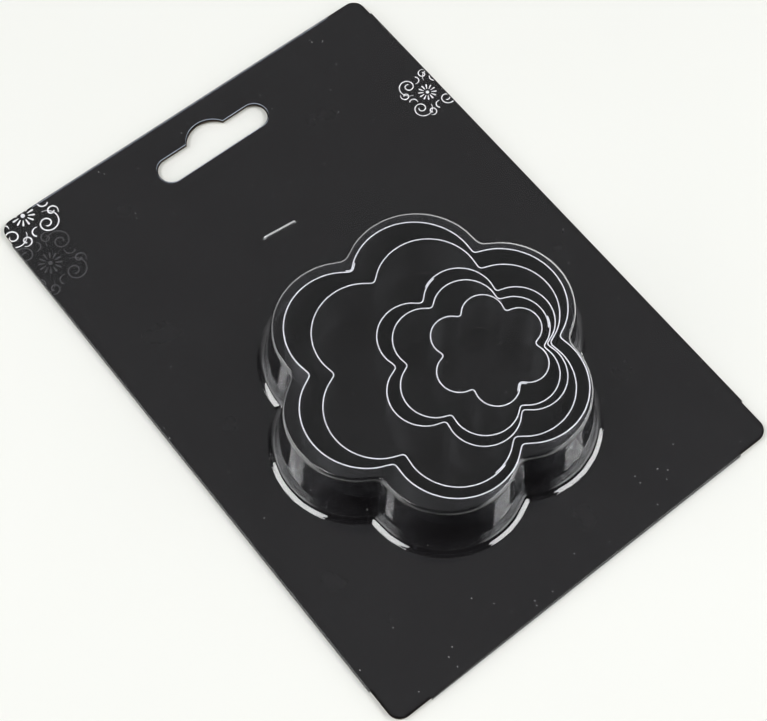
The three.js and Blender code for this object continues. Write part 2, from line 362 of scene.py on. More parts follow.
def hole_punch(ring):
    """A square punch through one staple hole."""
    only(camera)
    bpy.ops.mesh.primitive_circle_add(vertices=len(ring), fill_type="NGON")
    punch = bpy.context.object
    for vertex, corner in zip(punch.data.vertices, ring):
        vertex.co = (corner.x, corner.y, -PUNCH / 2)
    edit(punch)
    extrude((0, 0, PUNCH))
    face_outwards()
    only(punch)
    return punch


punches = [slot_punch, *[hole_punch(ring) for ring in leg_rings]]


def punch_through(obj):
    """Cuts the slot and the staple holes out of a piece."""
    for punch in punches:
        apply(obj, "BOOLEAN", operation="DIFFERENCE", object=punch)


print(len(punches), "punches")

# %% [markdown]
# ## The card
#
# The card is die-cut board with round corners. A cube with bevelled edges would do for it, but a flat
# outline gives cleaner corners: the card is a plane, bevelled at its corners and given its thickness, then
# punched. Its printed face lies a hair under the CAD face, so that the ornaments and the film have room
# above it. A narrow bevel takes the hardness off the die-cut edges.

# %% Model the card
CARD_CORNER = 3 * MM
INK_ROOM = 0.03 * MM
CUT_EDGE = 0.05 * MM
SQUARE = radians(60)
CARD_CREASE = 20

card_face = card_high.z - INK_ROOM
card = plate(card_low, card_high, card_low.z, CARD_CORNER, ROUND_STEPS // 2)
card.name = "printed_card"
extrude((0, 0, card_face - card_low.z))
face_outwards()
punch_through(card)
apply(card, "BEVEL", width=CUT_EDGE, segments=2, limit_method="ANGLE", angle_limit=SQUARE)
smooth(card, CARD_CREASE)
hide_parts("backing_card")
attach(card, "pack")
report(card)

# %% [markdown]
# ## The film's dome
#
# The dome is drawn out of the warm film over a six-lobed form. An extruded outline with bevels would look
# like it from afar, but its foot would be too plain: there the film leaves the card in a short bend, rises
# as a slightly hollow slope and then sweeps up into the wall, and that slope carries the white highlights.
# So the dome is a loft. The CAD gives its outline at the foot of the wall, at the start of the rounded top
# edge and on the flat top. Its widest ring, on the card, is set off outwards from the first of them.

# %% Take the dome's outlines from the CAD
FILM = 0.3 * MM
FLARE = 1.7 * MM
FLARE_WIDE = 2.1 * MM
DOME_EDGE = 1 * MM

film_top = card_high.z + FILM
dome_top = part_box("blister_cover")[1].z
foot_height = film_top + FLARE
edge_height = dome_top - DOME_EDGE


def from_east(ring):
    """A ring that starts at its point on the +X side."""
    middle = sum(ring, Vector((0, 0))) / len(ring)
    start = min(range(len(ring)), key=lambda k: abs((ring[k] - middle).angle_signed(Vector((1, 0)))))
    return ring[start:] + ring[:start]


foot = from_east(rings_at("blister_cover", foot_height)[0])
edge = from_east(rings_at("blister_cover", edge_height)[0])
top = from_east(rings_at("blister_cover", dome_top)[0])
base = [point + FLARE_WIDE * way for point, way in zip(foot, outward(foot, True))]
print("outlines of", len(foot), len(edge), "and", len(top), "points")

# %% [markdown]
# The rings between these are mixed from them. After its short bend the foot follows two Bezier curves. The
# rounding at the top is a quarter circle in profile, so its rings follow a sine and a cosine.

# %% Draw the rings between
SWEEP = 3.6 * MM
FOOT_BEND = ((0, 0), (0.05, 0.004), (0.10, 0.014))
SLOPE = ((0.12, 0.0195), (0.287, 0.0544), (0.453, 0.0959), (0.62, 0.146))
SLOPE_STEPS = 10
UPSWEEP = ((0.62, 0.146), (0.82, 0.206), (0.93, 0.38), (1, 1))
UPSWEEP_STEPS = 14
BEND_STEPS = 8
HOLD = 0.3 * MM


def between(ring, other, share):
    """A ring some share of the way from one ring to another."""
    return [a.lerp(b, share) for a, b in zip(ring, other)]


def on_wall(height):
    """The ring of the straight wall at some height."""
    return between(foot, edge, (height - foot_height) / (edge_height - foot_height))


sweep_top = film_top + SWEEP
slope = interpolate_bezier(*[Vector(knot) for knot in SLOPE], SLOPE_STEPS)
upsweep = interpolate_bezier(*[Vector(knot) for knot in UPSWEEP], UPSWEEP_STEPS)
levels = []
for inwards, up in (*FOOT_BEND, *slope, *upsweep[1:]):
    levels.append((between(base, on_wall(sweep_top), inwards), film_top + SWEEP * up))
for height in (sweep_top + HOLD, edge_height - HOLD):
    levels.append((on_wall(height), height))
for step in range(BEND_STEPS + 1):
    angle = step / BEND_STEPS * pi / 2
    height = edge_height + DOME_EDGE * sin(angle)
    levels.append((between(edge, top, 1 - cos(angle)), height))
print(len(levels), "rings from the card to the top of the dome")

# %% [markdown]
# All the rings go into one mesh, and Bridge Edge Loops makes the wall between each pair. Narrow rows of
# faces beside the bends keep the flat stretches flat when the mesh is shaded smooth: on the wall they are
# two more rings, and on the top they come from Inset.

# %% Loft the dome
hoops = [trace("hoop", ring, height, True) for ring, height in levels]
film = join(hoops)
film.name = "film_cover"
edit(film)
bpy.ops.mesh.bridge_edge_loops(type="SINGLE")
pick(film, "EDGE", lambda e: e.is_boundary and e.verts[0].co.z > dome_top - SAME)
bpy.ops.mesh.edge_face_add()
bpy.ops.mesh.inset(thickness=HOLD)
report(film)

# %% [markdown]
# ## The film's flat sheet
#
# The rest of the film lies flat on the card. It could be a plane with a hole cut by a Boolean, but then
# its edge and the dome's would not share their points. So a bevelled plane gives only its outline, Bisect
# adds corners where the folds begin and end, and Fill closes the space between that outline and the dome.

# %% Draw the flat sheet
FILM_INSET = 0.4 * MM
FOLD_TOP_INSET = 6 * MM
LIP = 8 * MM
LIP_GAP = 1 * MM

sheet_low = card_low + Vector((FILM_INSET, FILM_INSET, 0))
sheet_high = card_high - Vector((FILM_INSET, FILM_INSET, 0))
fold_bottom = card_low.y + LIP + LIP_GAP
fold_top = card_high.y - FOLD_TOP_INSET
fold_side = card_high.x - LIP - LIP_GAP

sheet = plate(sheet_low, sheet_high, film_top, CARD_CORNER - FILM_INSET, ROUND_STEPS // 2)
cuts = [((0, y, 0), (0, 1, 0)) for y in (fold_bottom, fold_top)]
cuts += [((x, 0, 0), (1, 0, 0)) for x in (fold_side, -fold_side)]
for place, way in cuts:
    select_all()
    bpy.ops.mesh.bisect(plane_co=place, plane_no=way)
pick(sheet, "EDGE", lambda e: not e.is_boundary)
bpy.ops.mesh.delete(type="EDGE_FACE")
pick(sheet, "FACE", lambda f: True)
bpy.ops.mesh.delete(type="ONLY_FACE")
join([film, sheet])
edit(film)
pick(film, "EDGE", lambda e: len(e.link_faces) < 2)
bpy.ops.mesh.fill(use_beauty=True)
pick(film, "FACE", lambda f: f.calc_center_median().z < film_top + SAME)
bpy.ops.mesh.inset(thickness=HOLD, use_boundary=False)
report(film)

# %% [markdown]
# ## The film's folds and lips
#
# The card is held in the film like a slide in its frame: three edges of the film are folded round it. A
# ready profile could be swept along each edge, but it would have to be joined to the sheet. So each fold
# follows the real one: an edge of the film is moved out to the card's edge, spun through a right angle,
# drawn down, spun again, and moved in as a lip behind the card.

# %% Fold the film round the card
FOLD_GAP = 0.04 * MM
FOLD_BEND = 0.35 * MM

fold_reach = FOLD_GAP + FILM - FOLD_BEND


def fold(edge_test, out, card_edge, axis):
    """Bends an edge of the film down along the card's edge and back in behind the card."""
    pick(film, "EDGE", edge_test)
    down = Vector((0, 0, 2 * FOLD_BEND - film_top))
    centre = out * (card_edge + fold_reach) + Vector((0, 0, film_top - FOLD_BEND))
    extrude_edges(out * (FILM_INSET + fold_reach))
    bpy.ops.mesh.spin(steps=BEND_STEPS, angle=pi / 2, center=centre, axis=axis)
    extrude_edges(down)
    bpy.ops.mesh.spin(steps=BEND_STEPS, angle=pi / 2, center=centre + down, axis=axis)
    extrude_edges(-out * (LIP + fold_reach))


def lies_on(axis, value, low, high):
    """A test for the edges along one straight stretch of the sheet's outline."""
    def test(e):
        ends = [v.co for v in e.verts]
        along = [c[1 - axis] for c in ends]
        flat = all(abs(c[axis] - value) < SAME and abs(c.z - film_top) < SAME for c in ends)
        return flat and e.is_boundary and min(along) > low - SAME and max(along) < high + SAME
    return test


edit(film)
for side in (-1, 1):
    along_side = lies_on(0, side * sheet_high.x, fold_bottom, fold_top)
    fold(along_side, Vector((side, 0, 0)), card_high.x, (0, -side, 0))
fold(lies_on(1, sheet_low.y, -fold_side, fold_side), Vector((0, -1, 0)), -card_low.y, (-1, 0, 0))
select_all()
bpy.ops.mesh.remove_doubles(threshold=SAME)
face_outwards()
only(film)
report(film)

# %% [markdown]
# So far the film is a skin without thickness, which keeps the folding simple. Solidify now thickens it
# inwards, so its outer face stays where it is, and the punches cut it. The film's slot is a little larger
# than the card's, so its cut edge shows as a thin line beside it.

# %% Give the film its thickness
FILM_SLOT_WIDER = 1.02
FILM_SLOT_HIGHER = 1.07
FILM_CREASE = 35

apply(film, "SOLIDIFY", thickness=FILM, offset=-1, use_even_offset=True, use_quality_normals=True)
slot_punch.scale = (FILM_SLOT_WIDER, FILM_SLOT_HIGHER, 1)
slot_punch.location.y = slot_y * (1 - FILM_SLOT_HIGHER)
punch_through(film)
smooth(film, FILM_CREASE)
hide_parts("blister_cover")
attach(film, "pack")
for punch in punches:
    bpy.data.objects.remove(punch)
report(film)

# %% [markdown]
# ## The cutters
#
# Each cutter is one strip of steel, bent into six petals, whose end laps over its start. A closed ring
# with a thickness would be easier, but it would have no lap. So it is made as the bender makes it: a line
# along the middle of the strip, extruded upwards, and given its thickness. The line comes from the CAD
# rim. The rim's inner ring has a step where the strip starts and its outer ring has one where the strip
# ends. The walk starts at the inner step, goes once round, and follows the outer ring for the length of
# the lap.

# %% Find the lines of the strips
LAP = 3 * MM

CUTTERS = ["largest_cutter", "large_cutter", "middle_cutter", "small_cutter", "smallest_cutter"]


def from_step(ring):
    """A ring as an open line that starts and ends at its one step, and the size of the step."""
    def turning(k):
        a, b, c = ring[k - 1], ring[k], ring[(k + 1) % len(ring)]
        return (b - a).angle_signed(c - b)

    def jog(k):
        here, after = turning(k), turning((k + 1) % len(ring))
        return min(abs(here), abs(after)) if here * after < 0 else 0

    step = max(range(len(ring)), key=jog)
    line = ring[step + 1:] + ring[:step + 1]
    return line, (line[0] - line[-1]).length


def strip_line(node):
    """The middle line of a cutter's strip, from its start to the end of its lap, and its thickness."""
    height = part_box(node)[1].z
    outer, inner = rings_at(node, height)
    inner_line, thickness = from_step(inner)
    outer_line, _ = from_step(outer)
    line = [p + thickness / 2 * way for p, way in zip(inner_line, outward(inner_line, False))]
    ways = outward(outer_line, False)
    gone = 0
    lap = []
    for k in range(len(outer_line) - 1, 0, -1):
        lap.insert(0, outer_line[k] - thickness / 2 * ways[k])
        gone += (outer_line[k] - outer_line[k - 1]).length
        if gone > LAP - thickness:
            break
    return line + lap, thickness


strip_lines = {node: strip_line(node) for node in CUTTERS}
print("strips in the CAD:", mm(thickness for _, thickness in strip_lines.values()), "mm thick")

# %% [markdown]
# The line is extruded in three steps, so that a narrow row of faces beside each rim keeps the wall flat.
# The strip is a little thinner than in the CAD, which leaves the hairline between the two layers of the
# lap open. A bevel rounds the rims, as rolling and tumbling do.

# %% Bend the strips
STRIP_SHARE = 0.9
RIM_ROUND = 0.09 * MM
RIM_HOLD = 0.25 * MM

steel_pieces = []
for node, (line, thickness) in strip_lines.items():
    low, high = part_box(node)
    strip = trace(node + "_strip", line, low.z, False)
    edit(strip)
    for rise in (RIM_HOLD, high.z - low.z - 2 * RIM_HOLD, RIM_HOLD):
        extrude_edges((0, 0, rise))
    apply(strip, "SOLIDIFY", thickness=STRIP_SHARE * thickness, offset=0, use_even_offset=True)
    apply(strip, "BEVEL", width=RIM_ROUND, segments=3, limit_method="ANGLE", angle_limit=SQUARE)
    edit(strip)
    face_outwards()
    smooth(strip)
    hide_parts(node)
    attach(strip, node)
    steel_pieces.append(strip)
    report(strip)

# %% [markdown]
# ## The staple
#
# The staple is flat wire that was pushed through film and card and clinched behind them. A curve with a
# bevel could be the wire, but its section would twist a little in the bends. So it is drawn as the wire
# runs: a rounded section is extruded and spun through four right angles, from one clinched end behind the
# card, over the film, and back to the other clinched end. It is made at the origin, lying along X.

# %% Bend the staple
STAPLE_LENGTH = 8.5 * MM
WIRE_THICK = 0.45 * MM
WIRE_WIDE = 0.4 * MM
WIRE_ROUND = 0.12 * MM
STAPLE_BEND = 0.6 * MM
CLINCH = 3.4 * MM
WIRE_ROUND_STEPS = 4
WIRE_BEND_STEPS = 6

staple_low, staple_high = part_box("staple")
wire_bend = STAPLE_BEND - WIRE_THICK / 2
crown_height = staple_high.z - WIRE_THICK / 2
clinch_height = staple_low.z + WIRE_THICK / 2
crown_half = STAPLE_LENGTH / 2 - STAPLE_BEND
tip = STAPLE_LENGTH / 2 - CLINCH
leg = crown_height - clinch_height - 2 * wire_bend

only(camera)
bpy.ops.mesh.primitive_plane_add(size=1)
staple = bpy.context.object
staple.name = "wire_staple"
staple.scale = (WIRE_THICK, WIRE_WIDE, 1)
staple.rotation_euler = (0, pi / 2, 0)
staple.location = (-tip, 0, clinch_height)
bpy.ops.object.transform_apply(location=True, rotation=True, scale=True)
edit(staple)
bpy.ops.mesh.bevel(offset=WIRE_ROUND, affect="VERTICES", segments=WIRE_ROUND_STEPS)
select_all()
for way, length, centre in (
    ((-1, 0, 0), crown_half - tip, (-crown_half, 0, clinch_height + wire_bend)),
    ((0, 0, 1), leg, (-crown_half, 0, crown_height - wire_bend)),
    ((1, 0, 0), 2 * crown_half, (crown_half, 0, crown_height - wire_bend)),
    ((0, 0, -1), leg, (crown_half, 0, clinch_height + wire_bend)),
):
    extrude(Vector(way) * length)
    bpy.ops.mesh.spin(steps=WIRE_BEND_STEPS, angle=pi / 2, center=centre, axis=(0, -1, 0))
extrude((tip - crown_half, 0, 0))
select_all()
bpy.ops.mesh.remove_doubles(threshold=SAME)
face_outwards()
only(staple)
report(staple)

# %% [markdown]
# The staple is turned a little, as the stapler left it, and moved to its holes.

# %% Put the staple in its place
STAPLE_X = -1.8 * MM
STAPLE_TURN = radians(-6)

staple.rotation_euler = (0, 0, STAPLE_TURN)
staple.location = (STAPLE_X, (staple_low.y + staple_high.y) / 2, 0)
bpy.ops.object.transform_apply(location=True, rotation=True)
smooth(staple)
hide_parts("staple")
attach(staple, "pack")
print("staple from", mm(staple.bound_box[0]), "mm")

# %% [markdown]
# ## The printed ornaments
#
# The card carries one small ornament three times: a daisy with scrolls round it, twice in white and once
# in a grey that hardly differs from the black. Print has no thickness to speak of, and a picture on the
# card could hold it, but as flat pieces of their own the ornaments keep crisp edges at any distance. Every
# line is a curve with a round bevel and a radius that changes along it, like the stroke of a brush.

# %% Helpers for brush strokes
STROKE_WIDTH = 0.25 * MM
STROKE_POINTS = 36
TIGHTENS = 3
# A stroke's shape in shares: its width at the start, where it is full, where it starts to close, and its
# least width.
STROKE_SHAPE = (0.35, 1 / 3, 0.97, 0.05)


def brush(points, radii):
    """One stroke: a round-bevelled curve through some points, with a radius at each of them."""
    curve = bpy.data.curves.new("stroke", "CURVE")
    curve.dimensions = "3D"
    curve.bevel_depth = 1
    curve.bevel_resolution = 1
    curve.use_fill_caps = True
    spline = curve.splines.new("POLY")
    spline.points.add(len(points) - 1)
    for knot, point, radius in zip(spline.points, points, radii):
        knot.co = (point.x, point.y, 0, 1)
        knot.radius = radius
    return mesh_of(curve)


def width_at(share, start, grown, closes, least):
    """How wide a stroke is along it: it grows from a thin start and closes in a round end."""
    tail = max(0, (share - closes) / (1 - closes))
    end = sqrt(max(0, 1 - tail * tail))
    return (start + (1 - start) * min(1, share / grown)) * max(least, end)


def scroll(start, heading, length, bend_from, bend_to, turn):
    """A stroke that starts at a point and bends ever more tightly, turned about the ornament's middle."""
    here = Vector(start) * MM
    points = []
    radii = []
    for k in range(STROKE_POINTS):
        share = k / (STROKE_POINTS - 1)
        points.append(Vector((
            here.x * cos(turn) - here.y * sin(turn),
            here.x * sin(turn) + here.y * cos(turn),
        )))
        radii.append(STROKE_WIDTH / 2 * width_at(share, *STROKE_SHAPE))
        bend = (bend_from + (bend_to - bend_from) * share ** TIGHTENS) / MM
        heading += bend * length * MM / (STROKE_POINTS - 1)
        here += length * MM / (STROKE_POINTS - 1) * Vector((cos(heading), sin(heading)))
    return brush(points, radii)


print("strokes up to", STROKE_WIDTH / MM, "mm wide")

# %% [markdown]
# A ring of petals with a dot in its middle makes the daisy, and three kinds of scroll go round it four
# times. The strokes are made meshes, joined and pressed flat.

# %% Draw one ornament
INK = 0.02 * MM
PETALS = 12
PETAL_START = 0.85 * MM
PETAL_LENGTH = 1.2 * MM
PETAL_WIDTH = 0.42 * MM
PETAL_SHAPE = (0.3, 1, 0.7, 0.02)
PETAL_POINTS = 9
DOT_WIDTH = 0.75 * MM
DOT_END = 0.02
DOT_POINTS = 13
QUARTERS = 4
FIRST_QUARTER = -pi / 4
# Where each scroll starts in mm, its first heading in degrees, its length in mm and its two bends.
SCROLLS = (
    ((-1.14, 2.91), 130, 13.0, -0.482, -1.754),
    ((-1.43, 5.64), 169, 4.8, 1.05, 2.81),
    ((1.77, 2.79), -72, 2.6, 1.05, 1.49),
)

strokes = []
shares = [step / (PETAL_POINTS - 1) for step in range(PETAL_POINTS)]
for k in range(PETALS):
    way = Vector((cos(2 * pi * k / PETALS), sin(2 * pi * k / PETALS)))
    points = [way * (PETAL_START + share * PETAL_LENGTH) for share in shares]
    radii = [PETAL_WIDTH / 2 * width_at(share, *PETAL_SHAPE) for share in shares]
    strokes.append(brush(points, radii))
shares = [step / (DOT_POINTS - 1) for step in range(DOT_POINTS)]
strokes.append(brush(
    [Vector((DOT_WIDTH * (share - 0.5), 0)) for share in shares],
    [DOT_WIDTH / 2 * max(DOT_END, sqrt(max(0, 1 - (2 * share - 1) ** 2))) for share in shares],
))
for k in range(QUARTERS):
    turn = FIRST_QUARTER + 2 * pi * k / QUARTERS
    for start, heading, *course in SCROLLS:
        strokes.append(scroll(start, radians(heading), *course, turn))
ornament = join(strokes)
ornament.name = "ornament"
thick = 2 * max(v.co.z for v in ornament.data.vertices)
edit(ornament)
bpy.ops.mesh.remove_doubles(threshold=SAME / 2)
bpy.ops.transform.resize(value=(1, 1, INK / thick), center_override=(0, 0, 0))
only(ornament)
report(ornament)

# %% [markdown]
# The ornament is copied to its three places, two of them larger than the third. Where it runs off the
# card it is cut, as the die cuts the print. A Boolean with the card could do it, but Bisect is steadier on
# such thin pieces. It cuts along the tangents of the card's outline, round its corners too.

# %% Print the ornaments
PRINTS = {
    "white_print_at_the_top": (Vector((-46.5, 73.5)) * MM, 1.4),
    "grey_print_at_the_left": (Vector((-48.4, 59.2)) * MM, 1.4),
    "white_print_at_the_right": (Vector((49.1, 42.0)) * MM, 1.12),
}
CORNER_CUTS = 6

ink_height = (card_face + card_high.z) / 2
prints = []
for name, (place, size) in PRINTS.items():
    only(ornament)
    bpy.ops.object.duplicate()
    piece = bpy.context.object
    piece.name = name
    piece.location = (place.x, place.y, ink_height)
    piece.scale = (size, size, 1)
    bpy.ops.object.transform_apply(location=True, scale=True)
    edit(piece)
    side = copysign(1, place.x)
    reach = CARD_CORNER - CUT_EDGE
    centre = Vector((side * (card_high.x - CARD_CORNER), card_high.y - CARD_CORNER, 0))
    for step in range(CORNER_CUTS + 1):
        angle = step / CORNER_CUTS * pi / 2
        way = Vector((side * cos(angle), sin(angle), 0))
        select_all()
        bpy.ops.mesh.bisect(
            plane_co=centre + reach * way, plane_no=way, use_fill=True, clear_outer=True,
            threshold=SAME / 10,
        )
    face_outwards()
    smooth(piece)
    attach(piece, "pack")
    prints.append(piece)
    report(piece)
bpy.data.objects.remove(ornament)

# %% [markdown]
# ## Helpers for nodes
#
# A finish is a small tree of nodes. By hand the nodes are added and wired one by one. In a script the same
# few moves come back in every finish, so they are helpers. The first of them add one node each.

# %% Helpers for single nodes


def set_inputs(node, values):
    """Gives plain values to some inputs of a node."""
    for label, value in values.items():
        node.inputs[label.replace("_", " ")].default_value = value


def put(tree, kind, link=None, **values):
    """A new node with plain values on some inputs and, if given, a link into its first one."""
    node = tree.nodes.new(kind)
    set_inputs(node, values)
    if link is not None:
        tree.links.new(link, node.inputs[0])
    return node


def maths(tree, operation, link, other):
    """A sum on one linked value and one that is linked or plain."""
    node = put(tree, "ShaderNodeMath", link)
    node.operation = operation
    if isinstance(other, bpy.types.NodeSocket):
        tree.links.new(other, node.inputs[1])
    else:
        node.inputs[1].default_value = other
    return node.outputs["Value"]


def ramp(tree, link, stops):
    """A value that follows some stops, each of them a place from 0 to 1 and a level."""
    node = put(tree, "ShaderNodeValToRGB", link)
    while len(node.color_ramp.elements) < len(stops):
        node.color_ramp.elements.new(0.5)
    for stop, (place, level) in zip(node.color_ramp.elements, stops):
        stop.position = place
        stop.color = (level, level, level, 1)
    return node.outputs["Color"]


def stretched(tree, link, scale):
    """Coordinates that are stretched before a pattern reads them."""
    return put(tree, "ShaderNodeMapping", link, Scale=scale).outputs["Vector"]


print("node groups so far:", len(bpy.data.node_groups))

# %% [markdown]
# ## Effects that several finishes share
#
# Two effects come back in most of the finishes. Their nodes could be copied, but as node groups they are
# built once and placed in each material with its own values. No real surface is equally smooth all over, so
# the first group, "Uneven", lets a value wander between two limits.

# %% Build the group for uneven values
NOISE_DETAIL = 4
NOISE_LOW = 0.3
NOISE_HIGH = 0.7


def new_group(name, output, **values):
    """A shader node group with a vector and some plain values as its inputs, and one output."""
    group = bpy.data.node_groups.new(name, "ShaderNodeTree")
    group.interface.new_socket("Vector", in_out="INPUT", socket_type="NodeSocketVector")
    for label, value in values.items():
        socket = group.interface.new_socket(label, in_out="INPUT", socket_type="NodeSocketFloat")
        socket.default_value = value
    group.interface.new_socket(output, in_out="OUTPUT", socket_type="NodeSocketFloat")
    given = group.nodes.new("NodeGroupInput").outputs
    return group, given, group.nodes.new("NodeGroupOutput").inputs[output]


uneven, given, result = new_group("Uneven", "Value", Scale=100, Low=0, High=1)
noise = put(uneven, "ShaderNodeTexNoise", given["Vector"], Detail=NOISE_DETAIL)
spread = put(
    uneven, "ShaderNodeMapRange", noise.outputs["Fac"], From_Min=NOISE_LOW, From_Max=NOISE_HIGH,
)
uneven.links.new(given["Scale"], noise.inputs["Scale"])
uneven.links.new(given["Low"], spread.inputs["To Min"])
uneven.links.new(given["High"], spread.inputs["To Max"])
uneven.links.new(spread.outputs["Result"], result)
print("group:", uneven.name)

# %% [markdown]
# Everything that has lain on a table carries dust, so "Specks" marks a few small points. A Voronoi texture
# has one point in each of its cells, and the random colour of a cell decides whether its point counts.

# %% Build the group for dust
specks, given, result = new_group("Specks", "Mask", Scale=400, Size=0.05, Share=0.1)
cells = put(specks, "ShaderNodeTexVoronoi", given["Vector"])
split = put(specks, "ShaderNodeSeparateColor", cells.outputs["Color"])
near = maths(specks, "LESS_THAN", cells.outputs["Distance"], given["Size"])
few = maths(specks, "LESS_THAN", split.outputs["Red"], given["Share"])
specks.links.new(given["Scale"], cells.inputs["Scale"])
specks.links.new(maths(specks, "MULTIPLY", near, few), result)
print("group:", specks.name)

# %% [markdown]
# The other helpers start a finish and fill in its shader: a colour that is mixed from two, a roughness that
# wanders, a bump.

# %% Helpers for finishes


def new_finish(name, **values):
    """A material with a Principled shader, some of its plain values, and Object coordinates."""
    material = bpy.data.materials.new(name)
    material.use_nodes = True
    shader = material.node_tree.nodes["Principled BSDF"]
    set_inputs(shader, values)
    place = material.node_tree.nodes.new("ShaderNodeTexCoord")
    return material, material.node_tree, shader, place.outputs["Object"]


def put_group(tree, group, link, **values):
    """One of the shared groups, placed in a material with its own values."""
    node = tree.nodes.new("ShaderNodeGroup")
    node.node_tree = group
    set_inputs(node, values)
    tree.links.new(link, node.inputs["Vector"])
    return node.outputs[0]


def roughen(tree, shader, place, **values):
    """Lets a shader's roughness wander between two limits."""
    tree.links.new(put_group(tree, uneven, place, **values), shader.inputs["Roughness"])


def blend(tree, shader, mask, first, second):
    """Gives a shader a colour that goes from the first to the second as a mask goes from 0 to 1."""
    node = tree.nodes.new("ShaderNodeMix")
    node.data_type = "RGBA"
    node.inputs["A"].default_value = (*first, 1)
    node.inputs["B"].default_value = (*second, 1)
    tree.links.new(mask, node.inputs["Factor"])
    tree.links.new(node.outputs["Result"], shader.inputs["Base Color"])


def mottle(tree, shader, link, scale, first, second):
    """Lets a shader's colour wander between two colours, and returns the share of the second."""
    share = put_group(tree, uneven, link, Scale=scale)
    blend(tree, shader, share, first, second)
    return share


def raise_by(tree, height, shader, **values):
    """A bump on a shader, from a height that runs from 0 to 1."""
    node = put(tree, "ShaderNodeBump", **values)
    tree.links.new(height, node.inputs["Height"])
    tree.links.new(node.outputs["Normal"], shader.inputs["Normal"])


print("materials so far:", len(bpy.data.materials))

# %% [markdown]
# ## The card's finishes
#
# The front is printed black and varnished. A plain black would look like a hole, so it isn't quite black,
# the varnish wanders a little in gloss, and dust lies on it.

# %% Print and varnish the card
INK_BLACK = (0.0030, 0.0026, 0.0027)
DUST = (0.24, 0.235, 0.225)

black_print, tree, shader, place = new_finish(
    "black_print", Coat_Weight=0.25, Coat_Roughness=0.2, Specular_IOR_Level=0.2,
)
mask = put_group(tree, specks, place, Scale=420, Size=0.06, Share=0.45)
blend(tree, shader, mask, INK_BLACK, DUST)
roughen(tree, shader, place, Scale=60, Low=0.20, High=0.28)
print("front:", black_print.name)

# %% [markdown]
# The cut edge shows the brown board between the printed skins, in layers. The back is bare board with
# short fibres. Both are the same wandering value on stretched coordinates: squeezed in height it makes
# layers, and drawn out along the card it makes fibres. Each face takes the finish that its direction asks
# for, so no face has to be picked by hand.

# %% Board at the edge and the back
EDGE_DARK = (0.030, 0.022, 0.015)
EDGE_PALE = (0.115, 0.082, 0.052)
LAYERS = (0.1, 0.1, 8)
BACK_DARK = (0.30, 0.27, 0.23)
BACK_PALE = (0.44, 0.41, 0.36)
FIBRES = (1, 0.2, 1)
FIBRE_BUMP = 0.02 * MM
LEVEL = 0.9

board_edge, tree, shader, place = new_finish("board_edge", Specular_IOR_Level=0.3)
mottle(tree, shader, stretched(tree, place, LAYERS), 900, EDGE_DARK, EDGE_PALE)
roughen(tree, shader, place, Scale=500, Low=0.7, High=0.95)

board_back, tree, shader, place = new_finish("board_back", Specular_IOR_Level=0.3)
fibres = mottle(tree, shader, stretched(tree, place, FIBRES), 900, BACK_DARK, BACK_PALE)
roughen(tree, shader, place, Scale=300, Low=0.75, High=0.95)
raise_by(tree, fibres, shader, Strength=0.3, Distance=FIBRE_BUMP)

for material in (black_print, board_edge, board_back):
    card.data.materials.append(material)
for face in card.data.polygons:
    face.material_index = 0 if face.normal.z > LEVEL else 2 if face.normal.z < -LEVEL else 1
print("card faces by finish:", [sum(f.material_index == k for f in card.data.polygons) for k in range(3)])

# %% [markdown]
# The ornaments are printed in white and in dark grey. White ink on black is never quite white: the black
# shows through where the ink is thin. So each ink wanders between a thin and a full colour.

# %% Ink for the ornaments
white_top, grey_left, white_right = prints
for name, thin, full, pieces in (
    ("white_ink", (0.55, 0.54, 0.52), (0.84, 0.83, 0.81), (white_top, white_right)),
    ("grey_ink", (0.020, 0.019, 0.019), (0.030, 0.029, 0.029), (grey_left,)),
):
    material, tree, shader, place = new_finish(name, Coat_Weight=0.4, Coat_Roughness=0.1)
    mottle(tree, shader, place, 900, thin, full)
    roughen(tree, shader, place, Scale=200, Low=0.35, High=0.5)
    for piece in pieces:
        piece.data.materials.append(material)
print("inks on", [piece.name for piece in prints])

# %% [markdown]
# ## The clear film
#
# Clear film is glass to a renderer: light passes, and its two faces reflect a little. Principled with full
# transmission does both; a see-through shader would be quicker, but it would lose the dark lines in the
# bends. Light has to reach what lies under the film, so the material turns almost transparent for shadow
# rays. The faint scuffs come from roughness that wanders. The flat parts of the film are hazier than the
# walls that were drawn out of it. The folds are painted dark: a tight fold works as a lens and shows the
# black edge of the card instead of the table, so the film there is tinted near black as painted shade.

# %% Clear film
FILM_TINT = (0.945, 0.952, 0.985)
FILM_SHADOW = (0.88, 0.885, 0.895)
# painted shade: a near-black tint for the film where it folds round the card's edges
PAINTED_FOLD_SHADE = (0.004, 0.003, 0.002)
FLAT_HAZE = 0.05
TOP_HAZE = 0.04
WALL_FROM = film_top / dome_top + 0.006
WALL_TO = 0.978
TOP_FROM = 0.982

clear_film, tree, shader, place = new_finish("clear_film", Transmission_Weight=1, IOR=1.57)
axes = put(tree, "ShaderNodeSeparateXYZ", place).outputs
sides = maths(tree, "GREATER_THAN", maths(tree, "ABSOLUTE", axes["X"], 0), card_high.x)
bottom = maths(tree, "LESS_THAN", axes["Y"], card_low.y)
# beyond the card's sides and bottom edge the film takes the painted fold shade, elsewhere its clear tint
blend(tree, shader, maths(tree, "MAXIMUM", sides, bottom), FILM_TINT, PAINTED_FOLD_SHADE)
haze = ramp(tree, maths(tree, "DIVIDE", axes["Z"], dome_top), (
    (film_top / dome_top, FLAT_HAZE), (WALL_FROM, 0), (WALL_TO, 0), (TOP_FROM, TOP_HAZE),
))
scuffs = put_group(tree, uneven, place, Scale=35, Low=0.01, High=0.035)
tree.links.new(maths(tree, "ADD", haze, scuffs), shader.inputs["Roughness"])
see_through = put(tree, "ShaderNodeBsdfTransparent", Color=(*FILM_SHADOW, 1))
light_path = tree.nodes.new("ShaderNodeLightPath")
choose = tree.nodes.new("ShaderNodeMixShader")
output = tree.nodes["Material Output"]
tree.links.new(light_path.outputs["Is Shadow Ray"], choose.inputs["Fac"])
